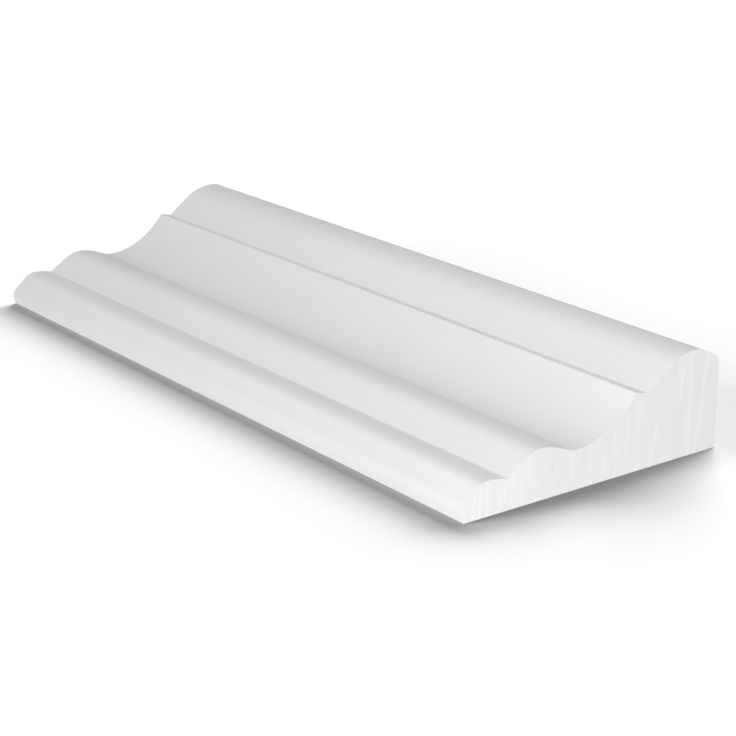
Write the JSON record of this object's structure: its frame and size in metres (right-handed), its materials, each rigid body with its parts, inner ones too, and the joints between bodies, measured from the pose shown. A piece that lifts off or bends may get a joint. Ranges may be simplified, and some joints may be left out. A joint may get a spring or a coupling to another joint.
{
  "type": "wall moulding",
  "caption": "Short length of white-painted timber wall moulding, flat-backed, rising from a thin nosed edge through bead, cove and step to a rounded crown.",
  "frame": {"origin": "Middle of the flat back, at the centre of the bounding box's underside.", "axes": "+X runs along the length, +Z points away from the wall face, the thin edge faces -Y and the thick edge faces +Y."},
  "size_m": [0.2422, 0.09, 0.0299],
  "materials": {
    "white_paint": "white eggshell paint on primed timber, smooth along the length, with faint upright saw marks under the paint on the cut ends"
  },
  "bodies": {
    "root": {"moulding": "white_paint"}
  },
  "joints": []
}
